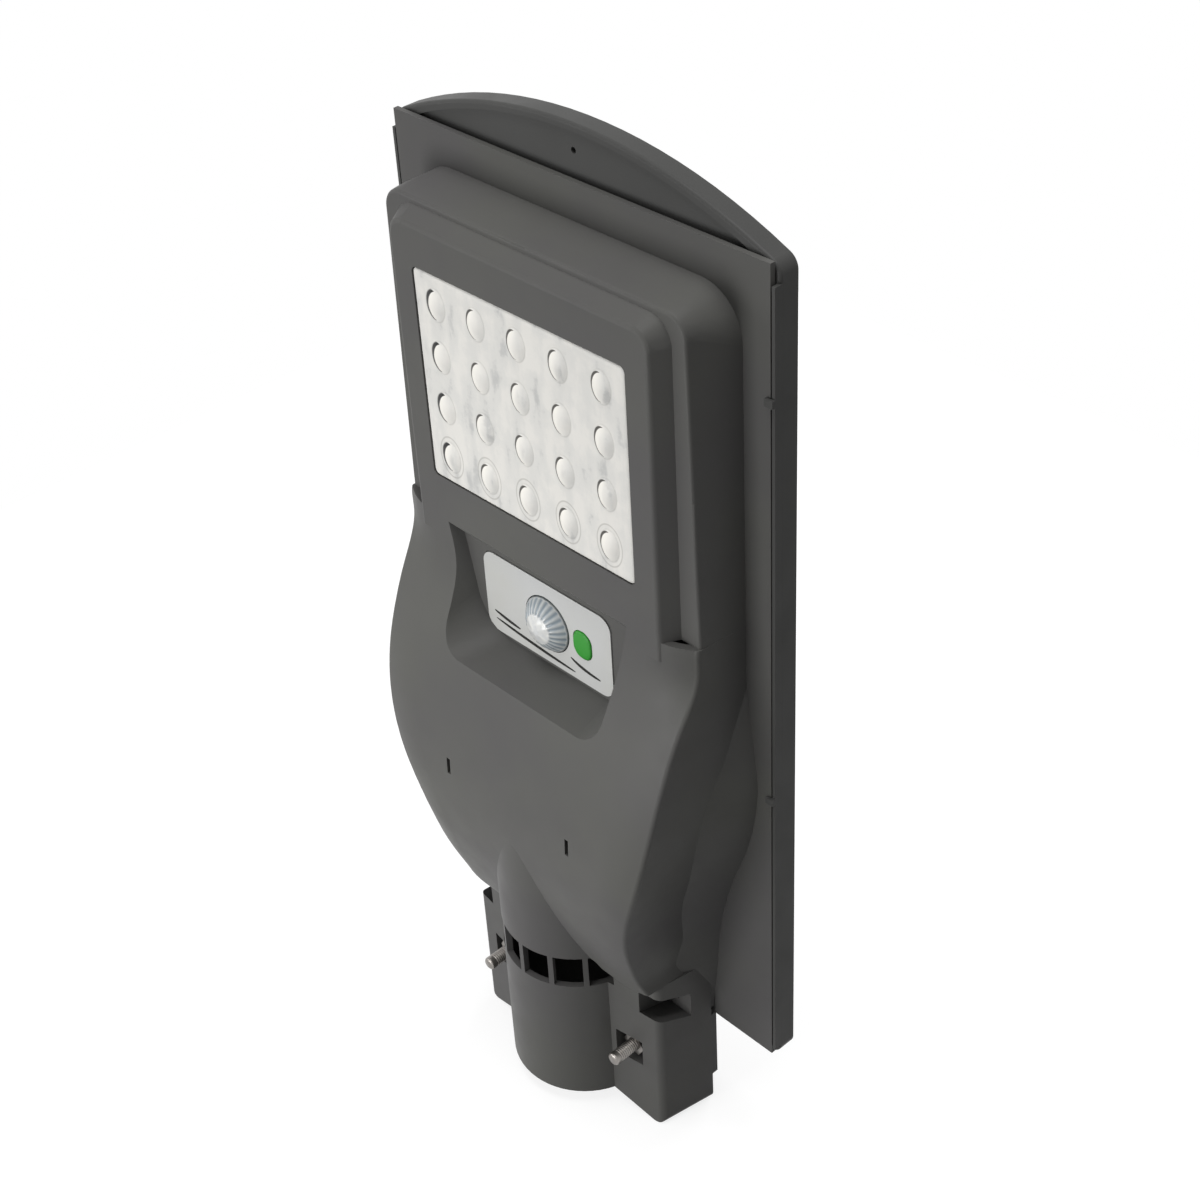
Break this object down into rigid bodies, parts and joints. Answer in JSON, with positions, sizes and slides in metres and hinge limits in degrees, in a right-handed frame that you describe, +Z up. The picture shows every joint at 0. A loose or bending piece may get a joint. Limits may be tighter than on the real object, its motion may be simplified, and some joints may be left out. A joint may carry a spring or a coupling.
{
  "type": "led pole light",
  "caption": "Solar LED street light for a pole top: flat panel back, lens window, motion sensor with button in a scooped belly, and a bolted socket clamp.",
  "frame": {"origin": "on the pole's axis at the mouth of the socket", "axes": "+Z up along the pole's axis and the lamp's length, -Y the lit face, +Y the solar panel, +X the lamp's right as seen from the lit face"},
  "size_m": [0.194, 0.0688, 0.4411],
  "materials": {
    "housing": "satin moulded dark grey",
    "frame": "satin moulded dark grey",
    "saddle": "satin moulded dark grey",
    "panel": "dark blue laminated cells",
    "foam": "black foam",
    "inner_plastic": "black moulded",
    "lens": "clear moulded over a bright board",
    "gasket": "grey silicone",
    "led_board": "white coated",
    "led": "yellow phosphor",
    "steel": "zinc plated",
    "cover": "light grey",
    "pir": "translucent white",
    "can": "tin plated",
    "button": "green",
    "circuit_board": "green solder mask",
    "cell": "blue sleeve",
    "strap": "black woven",
    "electronics": "black",
    "bolt": "satin plated"
  },
  "bodies": {
    "lamp": {"front_housing": "housing", "solar_frame": "frame", "solar_panel": "panel", "panel_seal": "foam", "panel_terminal_box": "inner_plastic", "led_lens_plate": "lens", "lens_gasket": "gasket", "led_board": "led_board", "led_chips": "led", "led_board_screws": "steel", "sensor_cover": "cover", "pir_lens": "pir", "pir_detector": "can", "push_switch": "inner_plastic", "sensor_board": "circuit_board", "sensor_board_screws": "steel", "battery_cells": "cell", "battery_holder": "inner_plastic", "battery_holder_screws": "steel", "battery_strap": "strap", "controller_board": "circuit_board", "controller_parts": "electronics", "controller_screws": "steel", "clamp_saddle": "saddle", "clamp_bolts": "bolt", "clamp_nuts": "bolt", "clamp_washers": "bolt"},
    "button": {"power_button": "button"}
  },
  "joints": [
    {"name": "button_press", "type": "slide", "parent": "lamp", "child": "button", "axis": [0, 1, 0], "range_m": [0, 0.0012], "stiffness_N_per_m": 900}
  ]
}
